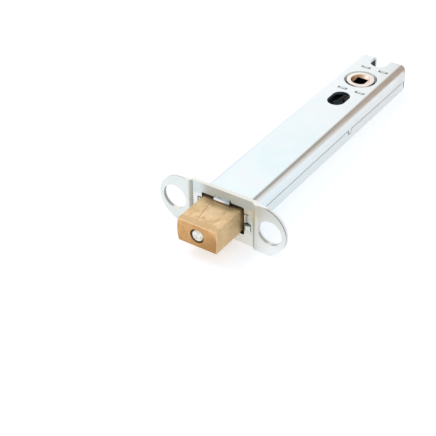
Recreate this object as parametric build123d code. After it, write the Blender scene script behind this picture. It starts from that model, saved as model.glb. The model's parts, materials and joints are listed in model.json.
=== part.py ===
from build123d import *
import os
from math import asin, atan2, cos, radians, tan

# Heavy-duty tubular bathroom deadbolt, lying flat with its bolt thrown. Millimetres.
# Origin: front plane of the fixing plate's ears, on the bolt's axis. +X runs along the plate,
# the bolt is thrown towards -Y, the case runs back along +Y and the spindle's axis is Z.

# Driving dimensions: the case, two pressed trays that meet along a side seam
case_width = 22.6
case_depth = 13.0
case_tail = 22.1
sheet = 1.2
long_bend = 2.6
rear_bend = 2.2
seam_gap = 0.28
backset = 107.0
hub_hole_diameter = 14.2
fixing_pitch = 38.0
fixing_width = 7.8
fixing_length = 11.6
corner_slit = 0.6
corner_slit_height = 2.9
corner_slit_setback = 2.6

# Driving dimensions: the side seam, which steps and falls behind the upper tray's round tongue
tongue_setback = 28.6
tongue_radius = 1.25
tongue_drop = 0.75
seam_step = 0.1
seam_fall = 0.75

# Driving dimensions: the fixing plate
plate_length = 57.0
plate_height = 20.6
plate_sheet = 1.6
joggle_depth = 1.1
joggle_run = 1.2
joggle_land = 1.55
joggle_radius = 0.9
ear_hole_diameter = 10.4
ear_hole_margin = 7.0
opening_height_clearance = 1.2
opening_side_clearance = 0.45
opening_radius = 0.6

# Driving dimensions: the front tabs that are staked through the plate
top_tab_width = 7.2
side_tab_gap = 0.7
side_tab_reach = 3.6
tab_clearance = 0.2
stake_length = 0.75
top_spread = 0.75
upper_side_spread = 0.35
lower_side_spread = 1.4
stake_land = 0.35

# Driving dimensions: the bolt
bolt_side_clearance = 1.0
bolt_face_clearance = 0.3
bolt_side_radius = 20.0
bolt_proud = 16.0
bolt_length = 43.5
bolt_throw = 13.5
nose_chamfer = 0.3
tail_chamfer = 0.3
stem_head_diameter = 5.0
stem_head_length = 2.6
stem_recess = 0.35
stem_recess_diameter = 6.1
stem_diameter = 4.2
stem_clearance = 0.05
stem_rivet_diameter = 6.2
stem_rivet_length = 1.3

# Driving dimensions: the tail bar and its drive pins
bar_sheet = 1.4
bar_drop = 2.3
bar_floor_clearance = 0.6
bar_bend = 0.9
bar_step_place = 12.0
bar_step_length = 4.0
bar_side_clearance = 0.4
rail_width = 4.7
bar_shoulder = 30.0
bar_neck = 6.0
bar_lug_clearance = 1.5
bar_corner = 1.5
pin_diameter = 3.0
pin_spigot_diameter = 2.4
pin_spigot_clearance = 0.05
pin_edge_distance = 2.1
pin_top = 2.2
rail_end_margin = 1.1

# Driving dimensions: the hub
turn_angle = 90.0
journal_diameter = 12.5
journal_clearance = 0.05
journal_recess = 0.1
journal_chamfer = 0.3
collar_diameter = 14.8
collar_inner = 2.5
collar_clearance = 0.1
core_diameter = 9.4
spindle_square = 5.1
mouth_diameter = 8.4
mouth_depth = 0.9
arm_tip_width = 2.6
arm_root_width = 3.2
arm_gap = 0.3
arm_pin_clearance = 0.19
flat_depth = 0.5

# Driving dimensions: the bearing plates and their staked tabs
bearing_sheet = 1.2
bearing_half_length = 9.85
bearing_spring_gap = 1.6
bearing_corner = 1.2
bearing_bend = 0.96
bearing_tab_width = 4.1
bearing_tab_half_spacing = 4.17
bearing_tab_shift = 1.2
bearing_tab_proud = 0.15
bearing_stake_length = 0.8
bearing_stake_depth = 0.6
slot_end_clearance = 0.15
slot_side_clearance = 0.15

# Driving dimensions: the leaf spring that holds the hub at both ends of its turn
leaf_sheet = 0.5
leaf_height_clearance = 0.6
leaf_clearance = 0.05
leaf_end_clearance = 0.3
foot_length = 2.6
foot_height_clearance = 0.5

# Places that follow from the driving dimensions
half_width = case_width / 2
half_depth = case_depth / 2
cavity_half_width = half_width - sheet
cavity_half_depth = half_depth - sheet
case_end = backset + case_tail
tongue_place = backset - tongue_setback
seam_rear = -seam_step - seam_fall
slit_place = case_end - corner_slit_setback
plate_face = joggle_depth
plate_back = joggle_depth + plate_sheet
ear_pitch = plate_length - 2 * ear_hole_margin
joggle_outer = ear_pitch - ear_hole_diameter - 2 * joggle_land
joggle_inner = joggle_outer - 2 * joggle_run
joggle_back_shift = plate_sheet * tan(atan2(joggle_depth, joggle_run) / 2)
fixing_front = backset - fixing_pitch / 2
fixing_rear = backset + fixing_pitch / 2
bolt_width = 2 * (cavity_half_width - bolt_side_clearance)
bolt_thickness = 2 * (cavity_half_depth - bolt_face_clearance)
bolt_nose = -bolt_proud
bolt_rear = bolt_nose + bolt_length
opening_half_width = bolt_width / 2 + opening_side_clearance
opening_half_height = bolt_thickness / 2 + opening_height_clearance
bar_top = bar_sheet - bar_drop
bar_low = cavity_half_depth - bar_floor_clearance
bar_lug_height = cavity_half_depth - bar_lug_clearance
bar_half_width = cavity_half_width - bar_side_clearance
bar_front = bolt_rear
lug_back = bar_front + bar_sheet
pin_radius = pin_diameter / 2
pin_offset = bar_half_width - pin_edge_distance
half_turn = radians(turn_angle / 2)
arm_side = (pin_radius + arm_root_width / 2 + arm_pin_clearance) / cos(half_turn)
pin_half_gap = arm_side - pin_offset * tan(half_turn) + bolt_throw / 2 - pin_radius
pins_middle = backset - bolt_throw / 2
pin_front_place = pins_middle - pin_half_gap - pin_radius
pin_rear_place = pins_middle + pin_half_gap + pin_radius
rail_end = pin_rear_place + pin_radius + rail_end_margin
bearing_inner = cavity_half_depth - bearing_sheet
journal_end = half_depth - journal_recess
collar_outer = bearing_inner - collar_clearance
arm_reach = cavity_half_width - arm_gap
arm_bottom = bar_top + arm_gap
arm_top = pin_top
bearing_half_width = cavity_half_width - bearing_spring_gap
bearing_tab_middle = bearing_half_length + bearing_sheet / 2
bearing_tab_places = (
    bearing_tab_shift - bearing_tab_half_spacing,
    bearing_tab_shift + bearing_tab_half_spacing,
)
leaf_half_length = bearing_half_length + leaf_end_clearance
leaf_half_height = bearing_inner - leaf_height_clearance
foot_half_height = cavity_half_depth - foot_height_clearance


def block(x_low, x_high, y_low, y_high, z_low, z_high):
    """A straight block between two opposite corners."""
    size = (x_high - x_low, y_high - y_low, z_high - z_low)
    middle = ((x_low + x_high) / 2, (y_low + y_high) / 2, (z_low + z_high) / 2)
    return Pos(*middle) * Box(*size)


def upright(sketch, z_low, z_high):
    """A plan outline raised between two heights."""
    return Pos(0, 0, z_low) * extrude(sketch, amount=z_high - z_low)


def along_bolt(sketch, y_low, y_high):
    """An outline seen from the front, run from y_low back to y_high."""
    return Pos(0, y_high, 0) * extrude(Plane.XZ * sketch, amount=y_high - y_low)


def rod(diameter, y_low, y_high):
    """A round bar on the bolt's axis."""
    return along_bolt(Circle(diameter / 2), y_low, y_high)


def post(x, y, diameter, z_low, z_high):
    """A round upright bar."""
    return Pos(x, y, 0) * upright(Circle(diameter / 2), z_low, z_high)


def mirrored(shape):
    """The same shape on the other side of the seam."""
    return mirror(shape, about=Plane.XY)


def tray_block(margin, bend, rear_radius):
    """The case's outside, or its hollow, as one rounded bar."""
    bar = block(
        margin - half_width,
        half_width - margin,
        plate_back,
        case_end - margin,
        margin - half_depth,
        half_depth - margin,
    )
    bar = fillet(bar.edges().filter_by(Axis.Y), bend)
    return fillet(bar.faces().sort_by(Axis.Y)[-1].edges(), rear_radius)


def above_seam(margin):
    """What lies above the side seam, seen from the side, with the upper tray's round tongue."""
    outline = make_face(
        Polyline(
            (0, -margin),
            (tongue_place, -margin),
            (tongue_place, -seam_step - margin),
            (case_end, seam_rear - margin),
            (case_end, case_depth),
            (0, case_depth),
            close=True,
        )
    )
    outline += Pos(tongue_place, -tongue_drop) * Circle(tongue_radius + margin)
    return extrude(Plane.YZ * outline, amount=case_width, both=True)


def staked_tab(length, spread):
    """A tab on +Y sheet seen from its side: it passes the plate, and its end is spread outwards.

    The profile lies in the YZ plane with the sheet's inner face at height 0.
    """
    end = plate_face - stake_length
    profile = Polyline(
        (plate_back, 0),
        (end, 0),
        (end, stake_land),
        (plate_face, sheet + spread),
        (plate_face, sheet),
        (plate_back, sheet),
        close=True,
    )
    return extrude(Plane.YZ * make_face(profile), amount=length / 2, both=True)


def front_tabs(side_spread):
    """The upper tray's tabs: one on its face, and one on each side wall below the bend."""
    length = side_tab_reach - side_tab_gap / 2
    middle = side_tab_gap / 2 + length / 2
    flat = Pos(0, 0, cavity_half_width) * staked_tab(length, side_spread)
    right = Pos(0, 0, middle) * Rot(0, 90, 0) * flat
    top = Pos(0, 0, cavity_half_depth) * staked_tab(top_tab_width, top_spread)
    return top + right + mirror(right, about=Plane.YZ)


def case_shell():
    """Both trays in one, open at the front, with the holes that go through their faces."""
    shell = tray_block(0, long_bend, rear_bend)
    shell -= tray_block(sheet, long_bend - sheet, rear_bend - sheet)
    fixing_slot = Rot(0, 0, 90) * SlotOverall(fixing_length, fixing_width)
    for place in (fixing_front, fixing_rear):
        shell -= Pos(0, place, 0) * upright(fixing_slot, -half_depth, half_depth)
    half_slot = fixing_width / 2
    shell -= block(-half_slot, half_slot, fixing_rear, case_end, -half_depth, half_depth)
    shell -= post(0, backset, hub_hole_diameter, -half_depth, half_depth)
    slot = Rectangle(
        bearing_tab_width + 2 * slot_end_clearance, bearing_sheet + 2 * slot_side_clearance
    )
    for x in bearing_tab_places:
        for y in (backset - bearing_tab_middle, backset + bearing_tab_middle):
            shell -= Pos(x, y, 0) * upright(slot, -half_depth, half_depth)
    return shell


def case_upper():
    return (case_shell() & above_seam(-seam_gap / 2)) + front_tabs(upper_side_spread)


def case_lower():
    """The lower tray's sides are slit just before its rear corners, where the press folds it."""
    tray = case_shell() - above_seam(seam_gap / 2)
    tray -= block(
        -case_width,
        case_width,
        slit_place - corner_slit / 2,
        slit_place + corner_slit / 2,
        seam_rear - corner_slit_height,
        0,
    )
    return tray + mirrored(front_tabs(lower_side_spread))


def fixing_plate():
    """Pressed plate: two ears stand forward of the middle, clear of the staked tabs."""
    reach = plate_length / 2
    front = (
        (-reach, 0),
        (-joggle_outer / 2, 0),
        (-joggle_inner / 2, joggle_depth),
        (joggle_inner / 2, joggle_depth),
        (joggle_outer / 2, 0),
        (reach, 0),
    )
    back = (
        (reach, plate_sheet),
        (joggle_outer / 2 + joggle_back_shift, plate_sheet),
        (joggle_inner / 2 + joggle_back_shift, plate_back),
        (-joggle_inner / 2 - joggle_back_shift, plate_back),
        (-joggle_outer / 2 - joggle_back_shift, plate_sheet),
        (-reach, plate_sheet),
    )
    section = make_face(Polyline(*front, *back, close=True))
    bends = [v for v in section.vertices() if abs(v.X) < reach - joggle_depth]
    strip = extrude(fillet(bends, joggle_radius), amount=plate_height / 2, both=True)
    plate = strip & along_bolt(SlotOverall(plate_length, plate_height), 0, plate_back)
    for side in (-1, 1):
        ear_hole = Pos(side * ear_pitch / 2, 0) * Circle(ear_hole_diameter / 2)
        plate -= along_bolt(ear_hole, -plate_sheet, plate_back)
    opening = RectangleRounded(2 * opening_half_width, 2 * opening_half_height, opening_radius)
    tab_top = half_depth + tab_clearance
    tab_side = half_width + tab_clearance
    opening += Rectangle(top_tab_width + 2 * tab_clearance, 2 * tab_top)
    opening += Rectangle(2 * tab_side, 2 * (side_tab_reach + tab_clearance))
    return plate - along_bolt(opening, 0, plate_back)


def bolt_head():
    """Round-sided brass bar with flats above and below, bored for its stem."""
    side_shift = bolt_side_radius - bolt_width / 2
    outline = Rectangle(bolt_width, bolt_thickness)
    outline &= Pos(side_shift, 0) * Circle(bolt_side_radius)
    outline &= Pos(-side_shift, 0) * Circle(bolt_side_radius)
    head = along_bolt(outline, bolt_nose, bolt_rear)
    head = chamfer(head.faces().sort_by(Axis.Y)[0].edges(), nose_chamfer)
    head = chamfer(head.faces().sort_by(Axis.Y)[-1].edges(), tail_chamfer)
    stem_shoulder = bolt_nose + stem_recess + stem_head_length
    head -= rod(stem_recess_diameter, bolt_nose, stem_shoulder)
    return head - rod(stem_diameter + 2 * stem_clearance, bolt_nose, bolt_rear)


def bolt_stem():
    """Steel rod through the bolt: a round head in the nose, riveted over behind the bar's lug."""
    head_front = bolt_nose + stem_recess
    shoulder = head_front + stem_head_length
    stem = rod(stem_head_diameter, head_front, shoulder)
    stem = chamfer(stem.faces().sort_by(Axis.Y)[0].edges(), tail_chamfer)
    rivet = rod(stem_rivet_diameter, lug_back, lug_back + stem_rivet_length)
    rivet = fillet(rivet.faces().sort_by(Axis.Y)[-1].edges(), stem_rivet_length / 2)
    return stem + rod(stem_diameter, shoulder, lug_back) + rivet


def tail_bar():
    """Steel blank with an upright lug at the bolt and a side rail past the bolt-through hole."""
    shoulder = bar_front + bar_shoulder
    rail_start = shoulder + bar_neck
    rail_inner = bar_half_width - rail_width
    plan = make_face(
        Polyline(
            (-bar_half_width, bar_front),
            (bar_half_width, bar_front),
            (bar_half_width, rail_end),
            (rail_inner, rail_end),
            (rail_inner, rail_start),
            (rail_inner - bar_neck, shoulder),
            (-bar_half_width, shoulder),
            close=True,
        )
    )
    plan = fillet(plan.vertices().filter_by(lambda v: v.Y > bar_front), bar_corner)
    step_start = bar_front + bar_step_place
    step_end = step_start + bar_step_length
    step_shift = bar_sheet * tan(atan2(bar_low - bar_drop, bar_step_length) / 2)
    side = make_face(
        Polyline(
            (bar_front, -bar_low),
            (step_start, -bar_low),
            (step_end, -bar_drop),
            (rail_end, -bar_drop),
            (rail_end, bar_top),
            (step_end - step_shift, bar_top),
            (step_start - step_shift, bar_sheet - bar_low),
            (lug_back, bar_sheet - bar_low),
            (lug_back, bar_lug_height),
            (bar_front, bar_lug_height),
            close=True,
        )
    )
    heel = side.vertices().sort_by(Axis.X)[:2].sort_by(Axis.Y)[0]
    side = fillet(heel, bar_bend)
    bar = extrude(Plane.YZ * side, amount=bar_half_width, both=True)
    bar &= upright(plan, -bar_low, bar_lug_height)
    bar -= rod(stem_diameter + 2 * stem_clearance, bar_front, lug_back)
    spigot_hole = pin_spigot_diameter + 2 * pin_spigot_clearance
    for place in (pin_front_place, pin_rear_place):
        bar -= post(pin_offset, place, spigot_hole, -bar_drop, bar_top)
    return bar


def drive_pins():
    """Two shouldered pins, riveted flush under the rail, one each side of the hub's arm."""
    pins = []
    for place in (pin_front_place, pin_rear_place):
        pin = post(pin_offset, place, pin_diameter, bar_top, pin_top)
        pin = chamfer(pin.faces().sort_by(Axis.Z)[-1].edges(), tail_chamfer)
        pins.append(pin + post(pin_offset, place, pin_spigot_diameter, -bar_drop, bar_top))
    return Compound(children=pins)


def hub_arm():
    """The arm points to the thrown end of its turn. Its tip is an arc about the spindle."""
    tip_angle = asin(arm_tip_width / 2 / arm_reach)
    tip_x = arm_reach * cos(tip_angle)
    root = arm_root_width / 2
    outline = make_face(
        Curve()
        + [
            Line((0, -root), (core_diameter / 2, -root)),
            Line((core_diameter / 2, -root), (tip_x, -arm_tip_width / 2)),
            ThreePointArc(
                (tip_x, -arm_tip_width / 2), (arm_reach, 0), (tip_x, arm_tip_width / 2)
            ),
            Line((tip_x, arm_tip_width / 2), (core_diameter / 2, root)),
            Line((core_diameter / 2, root), (0, root)),
            Line((0, root), (0, -root)),
        ]
    )
    return upright(Rot(0, 0, -turn_angle / 2) * outline, arm_bottom, arm_top)


def hub():
    """Follower: two journals, two collars with detent flats, a slim core and the drive arm."""
    body = post(0, 0, core_diameter, -collar_inner, collar_inner)
    for side in (-1, 1):
        low, high = sorted((side * collar_inner, side * collar_outer))
        collar = post(0, 0, collar_diameter, low, high)
        flat = collar_diameter / 2 - flat_depth
        collar &= block(-flat, collar_diameter, -collar_diameter, flat, low, high)
        low, high = sorted((side * collar_outer, side * journal_end))
        journal = post(0, 0, journal_diameter, low, high)
        rim = journal.faces().sort_by(Axis.Z)[-1 if side > 0 else 0].edges()
        body += collar + chamfer(rim, journal_chamfer)
    body += hub_arm()
    body -= upright(Rectangle(spindle_square, spindle_square), -half_depth, half_depth)
    mouth = Cone(mouth_diameter / 2 - mouth_depth, mouth_diameter / 2, mouth_depth)
    mouth = Pos(0, 0, journal_end - mouth_depth / 2) * mouth
    return Pos(0, backset, 0) * (body - mouth - mirrored(mouth))


def bearing_plate():
    """Plate under the upper tray's face, with the hub's bearing and four tabs bent outwards.

    Each tab's end is staked down at its corners, which spreads it in its slot.
    """
    plan = RectangleRounded(2 * bearing_half_width, 2 * bearing_half_length, bearing_corner)
    plate = upright(plan, bearing_inner, cavity_half_depth)
    tab_edge = bearing_half_length + bearing_sheet
    tab_profile = make_face(
        Polyline(
            (bearing_half_length - bearing_sheet, bearing_inner),
            (tab_edge, bearing_inner),
            (tab_edge, half_depth + bearing_tab_proud),
            (bearing_half_length, half_depth + bearing_tab_proud),
            (bearing_half_length, cavity_half_depth),
            (bearing_half_length - bearing_sheet, cavity_half_depth),
            close=True,
        )
    )
    heel = tab_profile.vertices().sort_by(Axis.X)[-2:].sort_by(Axis.Y)[0]
    tab_profile = fillet(heel, bearing_bend)
    tab = extrude(Plane.YZ * tab_profile, amount=bearing_tab_width / 2, both=True)
    ends = tab.faces().sort_by(Axis.Z)[-1].edges().filter_by(Axis.Y)
    tab = chamfer(ends, bearing_stake_depth, bearing_stake_length)
    for x in bearing_tab_places:
        plate += Pos(x, 0, 0) * tab
        plate += Pos(x, 0, 0) * mirror(tab, about=Plane.XZ)
    bore = journal_diameter + 2 * journal_clearance
    return Pos(0, backset, 0) * (plate - post(0, 0, bore, 0, case_depth))


def detent_spring():
    """Bowed leaf along the -X wall: its crown is level with the collars' round part."""
    wall = leaf_clearance - cavity_half_width
    crown = -collar_diameter / 2 - leaf_clearance
    end = leaf_half_length
    outline = make_face(
        Curve()
        + [
            ThreePointArc((wall, -end), (crown - leaf_sheet, 0), (wall, end)),
            Line((wall, end), (wall + leaf_sheet, end)),
            ThreePointArc((wall + leaf_sheet, end), (crown, 0), (wall + leaf_sheet, -end)),
            Line((wall + leaf_sheet, -end), (wall, -end)),
        ]
    )
    leaf = upright(outline, -leaf_half_height, leaf_half_height)
    hook_start = -bearing_half_width
    foot_end = wall + foot_length
    for side in (-1, 1):
        low, high = sorted((side * end, side * (end + leaf_sheet)))
        leaf += block(wall, foot_end, low, high, -leaf_half_height, leaf_half_height)
        leaf += block(hook_start, foot_end, low, high, -foot_half_height, foot_half_height)
    return Pos(0, backset, 0) * leaf


pieces = {
    "case_upper": case_upper(),
    "case_lower": case_lower(),
    "fixing_plate": fixing_plate(),
    "bolt_head": bolt_head(),
    "bolt_stem": bolt_stem(),
    "tail_bar": tail_bar(),
    "drive_pins": drive_pins(),
    "hub": hub(),
    "bearing_plate_upper": bearing_plate(),
    "bearing_plate_lower": mirrored(bearing_plate()),
    "detent_spring": detent_spring(),
}

os.makedirs("parts", exist_ok=True)
for node, shape in pieces.items():
    export_step(shape, f"parts/{node}.step")
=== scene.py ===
# %% [markdown]
# A heavy-duty tubular bathroom deadbolt: a long flat case of two pressed trays, a fixing plate
# across its front, a brass bolt that stands out of it and a follower that a spindle turns.
# The solids are already made at their real size, so this lesson gives them what a solid lacks:
# the finish of each metal, the light, the floor and the camera.
# The packed model is loaded first and is never moved; everything below is placed from it.

# %% Load the packed model
import json
import math

import bpy
from mathutils import Matrix, Vector


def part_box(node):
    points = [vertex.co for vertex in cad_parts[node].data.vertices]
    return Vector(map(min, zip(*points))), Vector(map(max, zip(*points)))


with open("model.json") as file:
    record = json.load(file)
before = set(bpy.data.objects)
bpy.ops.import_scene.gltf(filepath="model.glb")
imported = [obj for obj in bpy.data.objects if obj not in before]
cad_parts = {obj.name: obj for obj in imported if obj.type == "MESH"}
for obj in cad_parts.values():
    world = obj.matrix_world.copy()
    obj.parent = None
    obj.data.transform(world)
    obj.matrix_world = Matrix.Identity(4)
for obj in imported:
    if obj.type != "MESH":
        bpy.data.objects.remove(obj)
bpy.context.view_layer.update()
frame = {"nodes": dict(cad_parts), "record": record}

MM = 0.001
nodes = frame["nodes"]

# %% [markdown]
# Later cells need a few measures of the object. They could be typed in, but a finish that
# belongs to an edge or a hole should stay on it when the model is built again, so they are read
# from the model and its mounts. Only what a corner point can't tell is typed: the thickness of
# the sheet, the radius of its bends and how far back the plate's middle panel stands. The
# spread tabs at the front are wider than the case, so its width is measured behind the plate.

# %% Measures taken from the model, in millimetres
SHEET = 1.2
LONG_BEND = 2.6
PANEL_FACE = 1.1

plate_low, plate_high = (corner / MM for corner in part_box("fixing_plate"))
nose_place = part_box("bolt_head")[0].y / MM
case_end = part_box("case_lower")[1].y / MM
mounts = {mount["name"]: mount for mount in frame["record"]["mounts"]}
ear_place = mounts["forend_fixing"]["dims"]["spacing_x_mm"] / 2
ear_radius = mounts["forend_fixing"]["dims"]["hole_r_mm"]
hub_place = mounts["spindle_hole"]["pos_m"][1] / MM
hub_axis = (0.0, hub_place)


def points(name):
    """All the points of a node, in millimetres."""
    return [vertex.co / MM for vertex in nodes[name].data.vertices]


def reach(name, axis, behind):
    """How far a node reaches along an axis, counting only its points behind a place."""
    return max(point[axis] for point in points(name) if point.y > behind)


half_width = reach("case_lower", 0, plate_high.y)
case_top = reach("case_upper", 2, plate_high.y)
print("case half width", round(half_width, 2), "top", round(case_top, 2), "end", round(case_end, 2))
print("bolt's nose at", round(nose_place, 2), "hub at", round(hub_place, 2))

# %% [markdown]
# The camera stands in front, to the right and above, as for the photograph. It could be given
# as a matrix, but it is set from an aim point on the object, two angles, a small roll and a
# distance, because those are the numbers that a person can change and understand. The long
# lens keeps the case's sides nearly parallel, as they look in a product photograph.

# %% Camera
AZIMUTH = math.radians(35.0)
ELEVATION = math.radians(36.54)
ROLL = math.radians(-1.14)
AIM = Vector((-1.5, 0.0, -2.13)) * MM
DISTANCE = 452.52 * MM
LENS = 99.08
SENSOR = 36.0
NEAREST = 10 * MM


def camera_axes(azimuth, elevation, roll):
    """The camera's right, up and backward directions."""
    flat = math.cos(elevation)
    back = Vector((math.sin(azimuth) * flat, -math.cos(azimuth) * flat, math.sin(elevation)))
    level = Vector((math.cos(azimuth), math.sin(azimuth), 0.0))
    upright = back.cross(level)
    right = level * math.cos(roll) + upright * math.sin(roll)
    up = upright * math.cos(roll) - level * math.sin(roll)
    return right, up, back


right, up, back = camera_axes(AZIMUTH, ELEVATION, ROLL)
facing = Matrix((right, up, back)).transposed().to_4x4()
camera = bpy.data.objects.new("camera", bpy.data.cameras.new("camera"))
bpy.context.scene.collection.objects.link(camera)
camera.data.lens = LENS
camera.data.sensor_width = SENSOR
camera.data.clip_start = NEAREST
camera.matrix_world = Matrix.Translation(AIM + back * DISTANCE) @ facing
bpy.context.scene.camera = camera
print("camera at", [round(v / MM, 1) for v in camera.location])

# %% [markdown]
# Colours are written as they look on a screen, from 0 to 255, because that is how a colour
# picker shows them. Shaders want linear light, so one function turns the one into the other.

# %% Screen colours
WHITE = (1.0, 1.0, 1.0, 1.0)
BLACK = (0.0, 0.0, 0.0, 1.0)


def tone(red, green, blue):
    """A screen colour, 0 to 255, as linear light."""

    def linear(level):
        share = level / 255
        return share / 12.92 if share <= 0.04045 else ((share + 0.055) / 1.055) ** 2.4

    return (linear(red), linear(green), linear(blue), 1.0)


print("middle grey is", [round(v, 3) for v in tone(128, 128, 128)])

# %% [markdown]
# Shader formulas are easier to read as Python than as boxes and wires. The class below wraps
# one socket of a node tree, and each operator adds the Math node that works it out. Every
# other kind of node comes from its one method, add. The two methods used most are rise, which
# turns a measure into a soft mask from 0 to 1, and blend, which mixes two colours by a mask.

# %% A socket that takes part in formulas
class Wire:
    """One value in a node tree."""

    def __init__(self, tree, socket=None):
        self.tree = tree
        self.socket = socket

    def add(self, kind, settings=None, sockets=None, output=0):
        """Adds any node: first its settings, then the values or links of its sockets."""
        node = self.tree.nodes.new(kind)
        for name, value in (settings or {}).items():
            setattr(node, name, value)
        for name, value in (sockets or {}).items():
            if isinstance(value, Wire):
                self.tree.links.new(value.socket, node.inputs[name])
            else:
                node.inputs[name].default_value = value
        return Wire(self.tree, node.outputs[output])

    def math(self, operation, *values):
        return self.add("ShaderNodeMath", {"operation": operation}, dict(enumerate(values)))

    def __add__(self, other):
        return self.math("ADD", self, other)

    def __sub__(self, other):
        return self.math("SUBTRACT", self, other)

    def __rsub__(self, other):
        return self.math("SUBTRACT", other, self)

    def __mul__(self, other):
        return self.math("MULTIPLY", self, other)

    def __neg__(self):
        return self * -1.0

    def __abs__(self):
        return self.math("ABSOLUTE", self)

    def __pow__(self, other):
        return self.math("POWER", self, other)

    __radd__ = __add__
    __rmul__ = __mul__

    def rise(self, low, high):
        """0 below low, 1 above high and a smooth step between. With high below low it falls."""
        return self.add(
            "ShaderNodeMapRange",
            {"interpolation_type": "SMOOTHSTEP"},
            {"Value": self, "From Min": low, "From Max": high},
        )

    def blend(self, first, second):
        """The first colour where this mask is 0 and the second where it is 1."""
        colours = {"Factor": self, "A": first, "B": second}
        return self.add("ShaderNodeMix", {"data_type": "RGBA"}, colours, 2)

    def stretch(self, x, y, z):
        """A vector multiplied by three numbers."""
        return self.add("ShaderNodeVectorMath", {"operation": "MULTIPLY"}, {0: self, 1: (x, y, z)})

    def turn(self, degrees):
        """A vector turned about Z."""
        angle = {"Vector": self, "Angle": math.radians(degrees)}
        return self.add("ShaderNodeVectorRotate", {"rotation_type": "Z_AXIS"}, angle)

    def parts(self):
        """The three components of a vector."""
        return [self.add("ShaderNodeSeparateXYZ", sockets={0: self}, output=i) for i in range(3)]

    def noise(self, size, detail=2.0, rough=0.5):
        """Cloudy noise whose patches are about size across, from 0 to 1."""
        settings = {"Vector": self, "Scale": 1 / size, "Detail": detail, "Roughness": rough}
        return self.add("ShaderNodeTexNoise", None, settings)


def distance(*parts):
    """The length of a vector whose components are given as wires."""
    return sum(part ** 2 for part in parts) ** 0.5


print("a wire knows", [name for name in vars(Wire) if not name.startswith("_")])

# %% [markdown]
# Every finish starts the same way: a Principled shader, and the place and direction of the
# surface measured on the piece itself. Both move with the piece, so wear doesn't slide when the
# bolt does. The place is turned into millimetres, the unit in which a metalworker thinks.
# A finish is then painted in layers, as a model maker would: each layer says where it goes, as
# a mask, and in what colour. An image could hold the same, but it would blur close up and would
# have to be unwrapped again after each change of the model.

# %% Start a finish
class Finish:
    """A material that is being made: its shader, and the place and normal of the surface."""

    def __init__(self, name):
        self.material = bpy.data.materials.new(name)
        self.material.use_nodes = True
        tree = self.material.node_tree
        self.shader = tree.nodes["Principled BSDF"]
        self.root = Wire(tree)
        here = self.root.add("ShaderNodeTexCoord", output="Object")
        self.place = here.stretch(1 / MM, 1 / MM, 1 / MM)
        self.x, self.y, self.z = self.place.parts()
        normal = self.root.add("ShaderNodeTexCoord", output="Normal")
        self.nx, self.ny, self.nz = normal.parts()
        self.colour = WHITE

    def set(self, **sockets):
        """Sets or links the shader's sockets; an underscore in a name stands for a space."""
        for name, value in sockets.items():
            socket = self.shader.inputs[name.replace("_", " ")]
            if isinstance(value, Wire):
                self.shader.id_data.links.new(value.socket, socket)
            else:
                socket.default_value = value

    def paint(self, mask, colour):
        """Lays a colour over what is painted so far, where the mask is 1."""
        self.colour = mask.blend(self.colour, colour)

    def relief(self, height, depth):
        """A bump of the given height field, 0 to 1, that is depth millimetres deep."""
        bump = {"Strength": 1.0, "Distance": depth * MM, "Height": height}
        self.set(Normal=self.root.add("ShaderNodeBump", None, bump))

    def along(self, way, start):
        """How far the place lies from a start, along a direction in the plane of the case's top."""
        return (self.x - start[0]) * way[0] + (self.y - start[1]) * way[1]

    def scratches(self, degrees, length, spacing, share):
        """Fine scratches that run at an angle in the plane of the case's top."""
        streaks = self.place.turn(degrees).stretch(1 / spacing, 1 / length, 1 / spacing)
        return streaks.noise(1.0, 3.0, 0.6).rise(1 - share, 1 - share * 0.6)

    def score(self, start, end, width):
        """One scored line on a face that looks up: 1 on the line and 0 beside it."""
        run = Vector(end) - Vector(start)
        way_x, way_y = run.normalized()
        ahead = self.along((way_x, way_y), start)
        beside = abs(self.along((way_y, -way_x), start))
        between_ends = ahead.rise(-1.0, 1.0) * ahead.rise(run.length + 1.0, run.length - 1.0)
        return beside.rise(width, 0.0) * between_ends

    def tell(self, layer):
        """Prints what was painted and how many nodes the finish has by now."""
        print(self.material.name, layer, len(self.material.node_tree.nodes), "nodes")


def dress(finish, *names):
    """Puts a finish on CAD nodes, in their own material slots."""
    for name in names:
        for slot in nodes[name].material_slots:
            slot.material = finish.material
        print(finish.material.name, "on", name)


print("a finish knows", [name for name in vars(Finish) if not name.startswith("_")])

# %% [markdown]
# Bright zinc plate. The case is pressed from rolled steel and then plated, so it reflects
# nearly white with a cool cast, and thin passivation gives it faint cyan and lavender patches.
# Rolling leaves hairlines along the sheet; handling leaves a few scratches across them.
# A plain grey metal would be simpler, but it looks like plastic: the tints and hairlines are
# what makes it read as plated steel. All the zinc shares one recipe, so that the case and the
# plate look as if they came out of the same bath. Each piece then gets a gloss of its own: the
# recipe only hands on how the hairlines and the frosty grain roughen it.

# %% The recipe for zinc plate
PATCH_SIZE = 14.0
BLUSH_SIZE = 7.0
SCRATCH_ANGLE = 64.0
SCRATCH_LENGTH = 9.0
SCRATCH_SPACING = 0.35
ZINC_RELIEF = 0.008


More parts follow.
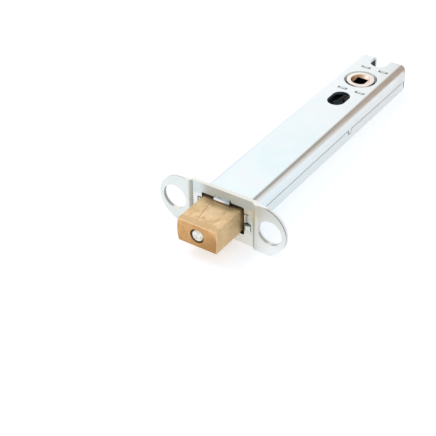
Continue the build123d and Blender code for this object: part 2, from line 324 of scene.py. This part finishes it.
def zinc(name, face, cool, warm, line):
    """Plated sheet: three close tints in patches, hairlines along it and light handling marks."""
    finish = Finish(name)
    patches = finish.place.noise(PATCH_SIZE, 3.0, 0.55)
    blush = finish.place.stretch(1.0, 0.6, 1.0).noise(BLUSH_SIZE, 2.0, 0.5).rise(0.5, 0.7)
    finish.colour = patches.rise(0.35, 0.65).blend(cool, face)
    finish.paint(blush * 0.6, warm)
    hairlines = finish.place.stretch(7.0, 0.12, 7.0).noise(1.0, 4.0, 0.7)
    finish.frost = finish.place.noise(0.5, 3.0, 0.7)
    marks = finish.scratches(SCRATCH_ANGLE, SCRATCH_LENGTH, SCRATCH_SPACING, 0.30)
    finish.paint(hairlines.rise(0.58, 0.8) * 0.22 + marks * 0.2, line)
    finish.satin = hairlines * 0.06 + finish.frost * 0.1
    finish.relief(hairlines * 0.6 + finish.frost * 0.4, ZINC_RELIEF)
    return finish


print("zinc has patches of", PATCH_SIZE, "mm and a relief of", ZINC_RELIEF, "mm")

# %% [markdown]
# The case. Its top is the brightest part of the lock. The sides are painted a little greyer, and
# the lower tray's side a shade darker than the upper one's, as painted shade for the floor that
# they mirror. The sides turn yellower and blotchy towards the heel, where the bath drained off,
# and greyer at the heel itself. The two trays could each have a material of its own, but a mask
# by the direction and the height of the surface keeps them in one finish, so that a change to
# the zinc reaches both.

# %% Zinc for the faces of the case
case = zinc(
    "case_zinc", tone(242, 252, 255), tone(234, 249, 253), tone(246, 248, 252), tone(204, 210, 212)
)
side = abs(case.nx).rise(0.75, 0.95)
lower_tray = case.z.rise(-0.2, -0.6)
rearward = case.y.rise(20.0, 110.0)
heel = case.y.rise(112.0, 124.0)
blotches = case.place.stretch(0.3, 0.09, 0.3).noise(1.0, 3.0, 0.6).rise(0.5, 0.66)
case.paint(rearward * 0.7, tone(248, 251, 253))
# The sides, and on the next line the lower tray's side: painted shade for the floor they mirror.
case.paint(side * 0.85, rearward.blend(tone(229, 239, 242), tone(230, 234, 233)))
case.paint(side * lower_tray * 0.7, rearward.blend(tone(226, 235, 236), tone(228, 232, 232)))
case.paint(blotches * side * rearward * (1 - lower_tray) * 0.4, tone(232, 230, 216))
case.paint(side * heel * (0.9 - lower_tray * 0.7), tone(218, 220, 218))
case.tell("faces")

# %% [markdown]
# The long bends. The sheet is stretched there and rubs on the punch, so the zinc is stained on
# the right. The right bend and its edge beside the side are also painted brownish, and the left
# bend bluish at the front, as painted reflections of the studio. A bend is where the surface
# looks partly sideways and partly up or down; its edge beside the side is found in the same way,
# with other limits.

# %% The bends
bend = abs(case.nx).rise(0.08, 0.3) * abs(case.nz).rise(0.2, 0.5)
bend_edge = abs(case.nx).rise(0.6, 0.85) * abs(case.nz).rise(0.08, 0.3)
stain = case.place.stretch(0.5, 0.12, 0.5).noise(1.0, 2.0, 0.5).rise(0.5, 0.7)
right_hand = case.x.rise(0.0, 1.0)
left_hand = case.x.rise(0.0, -1.0)
# The right bend: painted brownish, a painted reflection of the studio's far side.
case.paint(bend * right_hand * (0.38 - rearward * 0.2), tone(230, 222, 215))
case.paint(bend * right_hand * stain * (rearward + 0.2) * 0.2, tone(226, 204, 186))
# The right bend's edge beside the side: a painted reflection.
case.paint(bend_edge * right_hand * (rearward + 0.2) * 0.6, tone(226, 222, 214))
# The left bend at the front: painted bluish, a painted reflection.
case.paint(bend * left_hand * (1 - rearward) * 0.6, tone(216, 216, 232))
case.tell("bends")

# %% [markdown]
# Holes and inside. The walls of the punched holes and of the gap round the hub are torn metal,
# not bright plate, and the inside is dull. The inside is where the surface looks towards the
# case's middle line, and a hole's wall is where it looks sideways within the thickness of the
# top. The wall of the oblong hole in front of the hub is painted dark as shade, and the notch
# behind it is painted light, because it is open to the room. The gap's near wall is painted in
# shade, and its far wall, where the light comes in, is painted paler.

# %% Holes and inside
GAP_RADIUS = 7.9
GAP_WAY = (-0.57, 0.82)
OBLONG_END = hub_place - 13.0
in_top = abs(case.z).rise(case_top - SHEET - 0.1, case_top - SHEET + 0.1)
between_bends = abs(case.x).rise(half_width - LONG_BEND + 0.2, half_width - LONG_BEND - 0.1)
cut_wall = in_top * between_bends * abs(case.nz).rise(0.6, 0.3)
gap_wall = cut_wall * distance(case.x, case.y - hub_place).rise(GAP_RADIUS + 0.1, GAP_RADIUS)
far_side = case.along(GAP_WAY, hub_axis)
# The gap round the hub: painted shade on its near wall and painted light on its far wall.
gap_light_and_shade = far_side.rise(1.0, 4.5).blend(tone(92, 88, 84), tone(214, 218, 214))
oblong = case.y.rise(OBLONG_END + 0.5, OBLONG_END - 0.5)
# The oblong hole's wall: painted shade; the notch's wall: painted light.
case_hole_light_and_shade = oblong.blend(tone(232, 236, 234), tone(66, 72, 74))
outward = case.x * case.nx + case.z * case.nz
inside = outward.rise(-0.2, -0.8)
case.paint(inside, tone(190, 198, 202))
case.paint(cut_wall, gap_wall.blend(case_hole_light_and_shade, gap_light_and_shade))
case.tell("holes and inside")

# %% [markdown]
# Seam and slits. The upper tray is slit at its rear corners, and the slit is painted as a dark
# line of shade that runs on a little way into the side. Past the case's middle, a round tongue of
# the upper tray hooks into the lower one, and the gap round it is painted as a dark arc of shade.
# The edges that meet at the seam are sheared steel. The lower tray's slits and the tongue are in
# the solids; the dark line and the arc are painted shade.

# %% Seam, tongue and slits
SLIT_SETBACK = 2.6
SLIT_FOOT = 3.0
TONGUE = (78.4, -0.75)
TONGUE_RIM = 1.6
SEAM_BAND = 3.0
slit_place = case_end - SLIT_SETBACK
# Painted shade: a dark line along the slit.
slit = abs(case.y - slit_place).rise(0.4, 0.2) * side * case.z.rise(SLIT_FOOT, SLIT_FOOT + 0.3)
from_tongue = distance(case.y - TONGUE[0], case.z - TONGUE[1])
rear_limit = TONGUE[0] - TONGUE[1] + 1.05
# Painted shade: a dark arc in the gap round the tongue.
tongue_gap_shade = abs(from_tongue - TONGUE_RIM).rise(0.35, 0.1) * side
tongue_gap_shade = tongue_gap_shade * (case.y - case.z).rise(rear_limit, rear_limit - 0.8) * case.z.rise(-0.2, -0.5)
seam_edge = abs(case.nz).rise(0.6, 0.8) * abs(case.z).rise(SEAM_BAND + 0.3, SEAM_BAND)
case.paint(slit * 0.55, tone(96, 92, 88))
case.paint(tongue_gap_shade * 0.75, tone(92, 88, 82))
case.paint(seam_edge, tone(110, 108, 100))
case.tell("seam and slits")

# %% [markdown]
# The tabs at the front of both trays go through the plate and are spread with a punch, which
# breaks the plating. Their colours are painted light and shade: the struck slopes are painted dark
# and bluish as a reflection, the top tab's upper edge and the upper side tabs' ends get a painted
# highlight, and painted shade lies at the top tab's right end, beside the upper side tabs' end
# strips and along the lower side tabs' edges and ends, mottled with noise. They belong to the
# trays, so the case's finish changes there. Each kind of tab gets a colour of its own first, and
# one layer then puts them all in place.

# %% The struck tabs
SIDE_TABS = 8.0
tab = case.y.rise(PANEL_FACE + 0.1, PANEL_FACE - 0.1)
tab_mottle = case.place.noise(0.9, 3.0, 0.6)
# The struck slopes: painted dark and bluish, a painted reflection.
slope_reflection_and_shade = tab_mottle.rise(0.3, 0.55).blend(tone(122, 142, 150), tone(178, 192, 196))
# The top tab's right end: painted shade.
slope_reflection_and_shade = case.x.rise(3.0, 3.5).blend(slope_reflection_and_shade, tone(70, 74, 70))
# Along the top tab's upper edge: a painted highlight.
bright_edge = case.z.rise(case_top - 0.2, case_top - 0.45) * case.x.rise(3.0, -0.5)
top_tab = bright_edge.blend(slope_reflection_and_shade, tone(248, 252, 252))

inner_face = half_width - SHEET
from_middle = abs(case.x)
# The upper side tab: painted shade next to its end strip, fading outward.
upper_tab = from_middle.rise(inner_face + 0.5, half_width + 0.3)
upper_tab = upper_tab.blend(tone(132, 134, 124), tone(188, 194, 188))
# The lower side tab: painted shade along its top and outer edges, mottled.
lower_edge = case.z.rise(-1.5, -0.9) + from_middle.rise(half_width + 0.9, half_width + 1.2)
lower_dark = (lower_edge + tab_mottle.rise(0.44, 0.34) * 0.6).rise(0.0, 1.0)
lower_tab = lower_dark.blend(tone(234, 246, 238), tone(84, 100, 98))
above_seam = case.z.rise(-0.1, 0.1)
# End strips: a painted highlight on the upper side tab, painted shade on the lower.
end_tone = above_seam.blend(tone(146, 136, 108), tone(252, 248, 236))
end_strip = from_middle.rise(inner_face + 0.55, inner_face + 0.35)
side_tab = end_strip.blend(above_seam.blend(lower_tab, upper_tab), end_tone)
case.paint(tab, from_middle.rise(SIDE_TABS, SIDE_TABS + 1.0).blend(top_tab, side_tab))
case.tell("struck tabs")

# %% [markdown]
# Bare and dirty metal reflects less than clean plate, so the inside, the gap's wall and the
# tabs are less metallic. Light that comes in through the holes bounces about between the zinc
# walls many times. A path tracer could follow that with many more bounces, but a very faint
# glow of the inside stands in for them at no cost, and a stronger one on the gap's far wall.

# %% Put the case's finish together
INNER_LIGHT = tone(34, 40, 42)
GAP_LIGHT = tone(146, 150, 146)
dull = inside * 0.7 + gap_wall * 0.7 + tab * 0.4
case.set(Base_Color=case.colour, Metallic=1 - dull, Roughness=0.22 + case.satin)
glow = (gap_wall * far_side.rise(0.0, 4.0)).blend(inside.blend(BLACK, INNER_LIGHT), GAP_LIGHT)
case.set(Emission_Color=glow, Emission_Strength=1.0)
dress(case, "case_upper", "case_lower")

# %% [markdown]
# The fixing plate is thicker sheet, blanked and joggled in one stroke and then barrel plated,
# so it is rougher and greyer than the case. The ears stand forward of the middle; the right one
# is painted darker at its top and lighter at its foot, as painted shade and light. The short
# joggles between them are dull, and the left one gets a painted highlight at its bend and painted
# shade on its step. The middle panel is painted grey above the bolt, and paler beside and below
# it as painted light. All of these are places on one flat blank, so they are masks along the
# plate and up it.

# %% Zinc for the faces of the fixing plate
EAR_START = 16.0
plate = zinc(
    "plate_zinc", tone(233, 239, 236), tone(224, 233, 230), tone(238, 239, 233), tone(196, 196, 188)
)
ear = abs(plate.x).rise(EAR_START - 0.5, EAR_START + 0.5)
right_ear = plate.x.rise(EAR_START - 0.5, EAR_START + 0.5)
middle = abs(plate.x).rise(14.0, 12.5)
above_bolt = middle * plate.z.rise(5.4, 6.6) * plate.x.rise(-11.0, -6.0)
smears = plate.place.noise(2.2, 3.0, 0.6)
plate.paint(ear * 0.5, tone(232, 234, 229))
# The right ear: painted shade at its top and, on the next line, painted light at its foot.
plate.paint(right_ear * plate.z.rise(0.0, 9.0) * 0.7, tone(206, 212, 210))
plate.paint(right_ear * plate.z.rise(0.0, -8.0) * 0.8, tone(248, 253, 253))
plate.paint(above_bolt * 0.8, tone(200, 206, 198))
plate.paint(middle * smears.rise(0.5, 0.68) * 0.3, tone(204, 208, 196))

joggle = abs(plate.nx).rise(0.15, 0.4)
# The left joggle: a painted highlight at its bend and painted shade on its step.
joggle_highlight_and_shade = plate.x.rise(-14.9, -13.4).blend(tone(236, 240, 236), tone(186, 196, 200))
plate.paint(joggle * 0.8, tone(208, 217, 212))
plate.paint(joggle * plate.x.rise(1.0, -1.0) * 0.9, joggle_highlight_and_shade)
plate.paint(plate.frost.rise(0.5, 0.75) * 0.2, tone(212, 218, 214))

left_part = plate.x.rise(-8.0, -11.0) * plate.z.rise(6.0, 4.0)
under_bolt = plate.z.rise(-3.0, -6.0)
right_part = plate.x.rise(9.5, 11.5) * plate.z.rise(5.0, 1.0) * plate.z.rise(-7.0, -4.0)
# Beside and below the bolt: painted light on the middle panel.
plate.paint(middle * (left_part + under_bolt).rise(0.0, 1.0) * 0.7, tone(252, 255, 253))
plate.paint(middle * right_part * 0.5, tone(218, 242, 248))
plate.tell("faces")

# %% [markdown]
# The sheared edges. Blanking rolls the front corner of an edge over and leaves the rest of it
# nearly white; at the upper outer end of the right ear the rolled corner is painted in shade. The
# walls of the two ear holes get arcs of painted shade, and the edge of the opening for the bolt is
# painted dark as the shade round the bolt. An edge is where the surface doesn't look forward or
# back.

# %% The plate's edges and hole walls
sheared = abs(plate.ny).rise(0.5, 0.2)
plate.paint(sheared * 0.9, ear.blend(tone(246, 245, 236), WHITE))
rolled = sheared * ear * plate.y.rise(0.7, 0.4)
# Painted shade on the rolled corner at the upper outer end of the right ear.
shaded_end = plate.x.rise(18.0, 21.0) * plate.z.rise(-1.0, 4.0)
plate.paint(rolled, shaded_end.blend(tone(208, 210, 208), tone(158, 152, 148)))

from_hole = distance(abs(plate.x) - ear_place, plate.z)
hole_wall = sheared * from_hole.rise(ear_radius + 0.4, ear_radius + 0.2)
past_hole = abs(plate.x) - ear_place
on_left = plate.x.rise(1.0, -1.0)
on_right = plate.x.rise(-1.0, 1.0)
# Arcs of painted shade on the walls of the ear holes.
left_arc = past_hole.rise(0.5, 2.0) * on_left
right_arc = past_hole.rise(-0.8, -2.0) * on_right * plate.z.rise(-0.8, -2.4)
foot_arc = past_hole.rise(0.0, 1.2) * on_right * plate.z.rise(-3.0, -4.4) * plate.y.rise(0.9, 0.6)
ear_hole_shade = ((left_arc + right_arc) * plate.y.rise(1.35, 1.0) + foot_arc).rise(0.0, 1.0)
plate.paint(hole_wall, ear_hole_shade.blend(tone(236, 236, 230), tone(186, 188, 182)))

OPENING_SIDE = 11.5
OPENING_TOP = 7.7
# The opening for the bolt: its edge painted dark as shade round the bolt.
opening = abs(plate.x).rise(OPENING_SIDE + 0.5, OPENING_SIDE)
opening = opening * abs(plate.z).rise(OPENING_TOP + 0.3, OPENING_TOP)
plate.paint(sheared * opening, tone(90, 92, 86))
beside_joggle = right_ear * plate.x.rise(20.0, 17.0)
dulled = (middle * 0.3 + above_bolt * 0.4 + joggle * 0.7 + beside_joggle * 0.3).rise(0.0, 1.0)
plate.set(Base_Color=plate.colour, Metallic=1 - dulled, Roughness=0.34 + dulled * 0.3)
dress(plate, "fixing_plate")

# %% [markdown]
# Inside the case the sheet parts came out of the same bath, but grease has dulled them. Four
# lugs of each bearing plate come up through slots in the case and are staked there with a
# punch, so their tops are brighter; their ends, in the gaps that the slots leave, are painted a
# little darker as shade. Where the lugs stand is read from the bearing plate's own points. The
# inside glows as faintly as the trays do.

# %% Zinc for the parts inside
inner = zinc(
    "inner_zinc", tone(180, 184, 184), tone(166, 174, 176), tone(176, 168, 156), tone(120, 116, 108)
)
lug_tops = [point.x for point in points("bearing_plate_upper") if point.z > case_top]
lug_middle = (max(lug_tops) + min(lug_tops)) / 2
lug_place = (max(lug_tops) + min(x for x in lug_tops if x > lug_middle)) / 2 - lug_middle
print("lugs", round(lug_place, 2), "mm on both sides of", round(lug_middle, 2))
lug = abs(inner.z).rise(case_top - SHEET + 0.2, case_top - SHEET + 0.4)
# Painted shade at the lugs' ends, in the gaps that the slots leave.
slot_end_shade = abs(abs(inner.x - lug_middle) - lug_place).rise(1.0, 1.5)
inner.paint(lug, slot_end_shade.blend(tone(222, 228, 230), tone(200, 202, 200)))
inner.set(Base_Color=inner.colour, Metallic=1.0, Roughness=0.4 + inner.satin)
inner.set(Emission_Color=lug.blend(INNER_LIGHT, BLACK), Emission_Strength=1.0)
dress(inner, "tail_bar", "bearing_plate_upper", "bearing_plate_lower")

# %% [markdown]
# The bolt is drawn brass bar, left unlacquered. Its flats are pale and scratched along the bolt,
# because it slides there; a band behind the nose, which rubs in the door's frame, is browner, and
# one patch on top is rubbed bright. Its sides are painted a little darker, as painted shade, and
# where it comes out of the plate it is painted dark, as painted shade.
# Photographed brass could be pasted on, but it would carry another lamp's shine, so the wear is
# drawn as noise that is stretched along the bolt.

# %% Brass for the flats of the bolt
bolt = Finish("bolt_brass")
drawing = bolt.place.stretch(3.0, 0.12, 3.0).noise(1.0, 4.0, 0.7)
clouds = bolt.place.noise(5.0, 3.0, 0.6)
mottle = bolt.place.stretch(1.0, 0.5, 1.0).noise(1.3, 3.0, 0.65)
grain = bolt.place.noise(0.4, 3.0, 0.7)
behind_nose = bolt.y - nose_place
bolt.colour = clouds.rise(0.3, 0.7).blend(tone(246, 217, 176), tone(226, 194, 149))
bolt.paint(behind_nose.rise(4.0, 2.4) * 0.75, tone(214, 181, 136))
# The bolt's sides: painted a little darker than its top, as painted shade.
bolt.paint(abs(bolt.nx).rise(0.6, 0.9) * 0.6, tone(216, 186, 141))
bolt.paint(drawing.rise(0.56, 0.72) * 0.4, tone(250, 228, 194))
bolt.paint(mottle.rise(0.52, 0.68) * 0.35, tone(182, 150, 106))

RUBBED = (1.0, -6.5)
rubbed = (distance(bolt.x - RUBBED[0], bolt.y - RUBBED[1]) ** 2).rise(14.0, 1.0)
# Where the bolt comes out of the plate: painted shade.
shade_at_plate = bolt.y.rise(-3.6, -1.2) * abs(bolt.x - RUBBED[0]).rise(9.0, 2.0)
bolt.paint(rubbed * 0.4, tone(255, 232, 196))
bolt.paint(bolt.scratches(8.0, 14.0, 0.5, 0.34) * 0.25, tone(150, 120, 80))
bolt.paint(shade_at_plate * 0.7, tone(152, 126, 90))
bolt.tell("flats")

# %% [markdown]
# Three scored lines on the bolt's top are placed one by one, because noise makes only even
# wear, and a line that runs its own way is what the eye takes for use.

# %% Scored lines
SCORES = [((-1.8, -13.3), (-3.9, -0.7)), ((-2.2, -11.8), (-3.4, -4.5)), ((4.0, -11.2), (4.8, -7.8))]
SCORE_WIDTH = 0.28
on_top = bolt.nz.rise(0.7, 0.9)
for start, end in SCORES:
    bolt.paint(bolt.score(start, end, SCORE_WIDTH) * on_top * 0.4, tone(150, 120, 82))
bolt.tell("scored lines")

# %% [markdown]
# The nose is sawn and then touched on a linisher, so it is speckled. Its face is painted deeper in
# colour than the flats, with a darker lower right and a lighter upper right corner, as painted
# shade and light, and its chamfer gets flecks of painted highlight. Brass is a metal all over;
# only its roughness changes, with the clouds and the grain.

# %% The sawn nose and the painted highlight on its rim
# The nose's face: painted deeper than the flats, darker lower right, lighter upper right: painted
# shade and light.
nose = clouds.rise(0.3, 0.7).blend(tone(222, 177, 123), tone(204, 159, 106))
nose = (bolt.x - bolt.z * 1.5).rise(-2.0, 10.0).blend(nose, tone(184, 140, 90))
nose = ((bolt.x + bolt.z).rise(9.0, 12.0) * 0.4).blend(nose, tone(240, 200, 146))
nose = (mottle.rise(0.5, 0.66) * 0.45).blend(nose, tone(182, 136, 84))
nose = (grain.rise(0.55, 0.75) * 0.35).blend(nose, tone(240, 202, 152))
# The chamfer round the nose: flecks of painted highlight.
rim = abs(bolt.ny).rise(0.95, 0.85) * behind_nose.rise(0.4, 0.25)
bolt.paint((-bolt.ny).rise(0.5, 0.9), nose)
bolt.paint(grain.rise(0.55, 0.8) * 0.25, tone(150, 112, 66))
bolt.paint(rim * grain.rise(0.3, 0.6) * 0.6, tone(250, 218, 172))
bolt.set(Metallic=1.0, Base_Color=bolt.colour, Roughness=0.34 + clouds * 0.1 + grain * 0.15)
bolt.relief(drawing * 0.5 + grain * 0.5, 0.02)
dress(bolt, "bolt_head")

# %% [markdown]
# The stem is turned steel. Its round head shows in the nose, with a few dark nicks where it
# has met the door's frame. The spring is hardened strip, blued by its heat treatment. Both
# are small or hidden, so two tones and one noise are enough.

# %% Steel for the stem, the pins and the spring
stem = Finish("stem_steel")
wear = stem.place.noise(1.3, 3.0, 0.6)
nicks = stem.place.noise(0.7, 2.0, 0.6).rise(0.58, 0.7)
stem.colour = wear.rise(0.3, 0.7).blend(tone(244, 243, 234), tone(214, 213, 203))
stem.paint(nicks * 0.6, tone(120, 112, 96))
stem.set(Metallic=1.0, Base_Color=stem.colour, Roughness=0.28 + wear * 0.15)
stem.relief(wear, 0.03)
dress(stem, "bolt_stem", "drive_pins")

spring = Finish("spring_steel")
wear = spring.place.noise(3.0, 3.0, 0.6)
spring.colour = wear.rise(0.3, 0.7).blend(tone(86, 92, 104), tone(110, 100, 88))
spring.set(Metallic=1.0, Base_Color=spring.colour, Roughness=0.35 + wear * 0.1)
dress(spring, "detent_spring")

# %% [markdown]
# The follower is a sintered block with a pale pinkish flash. Only its ring shows, almost level
# with the case's top. The ring's outer edge is painted dark as the shade of the gap round it, and
# light on its near side as painted light. The countersunk mouth is bare and bronze-coloured,
# paler to the right, and painted dark on its front half as shade; the square hole is painted
# black as shade. All of it is round, so the masks are distances from the hub's axis.

# %% Copper flash for the hub
RING_EDGE = 5.5
MOUTH_RADIUS = 4.2
SQUARE_CORNER = 3.7
hub = Finish("hub_copper")
grain = hub.place.noise(0.35, 3.0, 0.6)
clouds = hub.place.noise(3.0, 3.0, 0.6)
from_axis = distance(hub.x, hub.y - hub_place)
near_side = -hub.along(GAP_WAY, hub_axis)
rim = abs(hub.nz).rise(0.97, 0.85) * from_axis.rise(RING_EDGE, RING_EDGE + 0.5)
mouth = from_axis.rise(MOUTH_RADIUS + 0.1, MOUTH_RADIUS - 0.05)
square = from_axis.rise(SQUARE_CORNER, SQUARE_CORNER - 0.1) * abs(hub.nz).rise(0.3, 0.1)
# The mouth: bronze, paler to the right, and painted dark as shade on its front half.
mouth_bronze_and_shade = hub.x.rise(-3.0, 2.0).blend(tone(176, 138, 102), tone(240, 220, 204))
mouth_bronze_and_shade = (hub.y - hub_place).rise(-0.6, -2.4).blend(mouth_bronze_and_shade, tone(84, 64, 48))
hub.colour = clouds.rise(0.3, 0.7).blend(tone(255, 248, 242), tone(248, 236, 228))
# The ring's outer edge: painted dark as the shade of the gap round it, painted light on its near
# side.
hub.paint(rim, near_side.rise(4.6, 6.2).blend(tone(116, 104, 96), tone(226, 216, 208)))
hub.paint(mouth, mouth_bronze_and_shade)
# The square hole: painted black as shade.
hub.paint(square, tone(34, 29, 26))
hub.set(Metallic=0.8 + rim * 0.2, Base_Color=hub.colour, Roughness=0.22 + grain * 0.14)
hub.relief(grain, 0.03)
dress(hub, "hub")

# %% [markdown]
# The deadbolt lies as it would on a table: on the lower edge of its plate and on the far end
# of its case. The floor is the plane through those two lines, so it is the floor that tilts a
# little here and the model that stays straight.

# %% Where the floor lies
REAR_BEND = 2.2
plate_foot = Vector((0.0, plate_high.y, plate_low.z)) * MM
case_heel = Vector((0.0, case_end - REAR_BEND, -case_top)) * MM
rest_line = case_heel - plate_foot
floor_angle = math.atan2(rest_line.z, rest_line.y)
print("floor tilt", round(math.degrees(floor_angle), 2), "degrees")

# %% [markdown]
# The floor is white paper. A paper that is lit to pure white would need so much light that the
# zinc would burn out, so the paper glows a little instead, for the camera and in reflections
# only. Both glows are a little warmer than white, and the paper itself is a little bluer, so
# that the open floor comes out white and the lock's faint shadow stays cool. In reflections the
# glow is weaker, which keeps the undersides of the brass and the plate from shining.

# %% Floor
FLOOR_SIZE = 6.0
GLOW_SEEN = (0.475, 0.455, 0.44, 1.0)
GLOW_MIRRORED = (0.42, 0.38, 0.335, 1.0)


def sheet_of(name, corners):
    """A flat four-cornered piece of the studio."""
    mesh = bpy.data.meshes.new(name)
    mesh.from_pydata(corners, [], [(0, 1, 2, 3)])
    piece = bpy.data.objects.new(name, mesh)
    bpy.context.scene.collection.objects.link(piece)
    return piece


span = FLOOR_SIZE / 2
floor = sheet_of("floor", [(-span, -span, 0), (span, -span, 0), (span, span, 0), (-span, span, 0)])
floor.matrix_world = Matrix.Translation(plate_foot) @ Matrix.Rotation(floor_angle, 4, "X")
floor_paper = Finish("floor_paper")
eye = floor_paper.root.add("ShaderNodeLightPath", output="Is Camera Ray")
mirror = floor_paper.root.add("ShaderNodeLightPath", output="Is Glossy Ray")
glow = mirror.blend(eye.blend(BLACK, GLOW_SEEN), GLOW_MIRRORED)
floor_paper.set(Base_Color=tone(219, 228, 240), Roughness=1.0, Specular_IOR_Level=0.0)
floor_paper.set(Emission_Color=glow, Emission_Strength=1.0)
floor.data.materials.append(floor_paper.material)
print("floor is", FLOOR_SIZE, "m square")

# %% [markdown]
# Plain studio light starts with an even white room. Three lamps would model the shapes more
# strongly, but bright metal shows every lamp as a hard patch, and an even room is what gives
# plated steel its clean look. The room lights the lock a little less than the camera and the
# reflections see it, so the background stays white and the zinc doesn't burn out.

# %% Room
ROOM = 0.78
RAYS = ("Camera", "Glossy", "Transmission")
world = bpy.data.worlds.new("studio")
bpy.context.scene.world = world
world.use_nodes = True
studio = Wire(world.node_tree)
camera_ray, glossy_ray, clear_ray = (
    studio.add("ShaderNodeLightPath", output=f"Is {kind} Ray") for kind in RAYS
)
shown = (camera_ray + glossy_ray + clear_ray).rise(0.0, 1.0)
background = world.node_tree.nodes["Background"]
background.inputs["Color"].default_value = WHITE
world.node_tree.links.new((ROOM + shown * (1 - ROOM)).socket, background.inputs["Strength"])
print("room lights at", ROOM, "and shows at 1")

# %% [markdown]
# One soft lamp above and to the left gives the lock a lit side and a shaded one. A window or a
# row of bulbs would do it too, but a square area lamp needs only a size and a power. It stands
# well away from where the case's top would mirror it, so the top keeps its colour.

# %% Lamp
LAMP_SIZE = 0.5
LAMP_POWER = 1.6
LAMP_PLACE = Vector((-0.60, -0.05, 0.80))
lamp = bpy.data.objects.new("lamp", bpy.data.lights.new("lamp", "AREA"))
bpy.context.scene.collection.objects.link(lamp)
lamp.data.size = LAMP_SIZE
lamp.data.energy = LAMP_POWER
lamp_turn = LAMP_PLACE.to_track_quat("Z", "Y").to_matrix().to_4x4()
lamp.matrix_world = Matrix.Translation(LAMP_PLACE) @ lamp_turn
print("lamp", round(LAMP_PLACE.length, 2), "m away")

# %% [markdown]
# The bend along the case mirrors the far side of the studio. A photographer stands a dark
# card there, to draw a line between two white faces. This one fades out at its sides, so that
# the line has soft edges, and is browner lower down. It is seen in reflections only.

# %% The card behind
CARD_PLACE = 0.28
CARD_SIDES = (-0.13, 0.32)
CARD_ENDS = (-0.02, 0.40)
low_left, low_right = ((x, 0.0, CARD_ENDS[0]) for x in CARD_SIDES)
high_left, high_right = ((x, 0.0, CARD_ENDS[1]) for x in CARD_SIDES)
card = sheet_of("grey_card", [low_left, low_right, high_right, high_left])
card.location = (0.0, CARD_PLACE, 0.0)
card.visible_camera = False
card.visible_diffuse = False
card.visible_shadow = False
card_paper = Finish("card_paper")
FADE_LEFT = (-76.0, -28.0)
FADE_RIGHT = (290.0, 120.0)
GREYER_UP = (170.0, 280.0)
shade = card_paper.x.rise(*FADE_LEFT) * card_paper.x.rise(*FADE_RIGHT)
ink = card_paper.z.rise(*GREYER_UP).blend(tone(180, 162, 145), tone(132, 130, 128))
card_paper.set(Base_Color=BLACK, Roughness=1.0, Specular_IOR_Level=0.0)
card_paper.set(Emission_Color=shade.blend(WHITE, ink), Emission_Strength=1.0)
card.data.materials.append(card_paper.material)
print("card from", CARD_SIDES[0], "to", CARD_SIDES[1], "m,", CARD_PLACE, "m back")

bpy.context.scene.view_settings.view_transform = "Standard"

# %% [markdown]
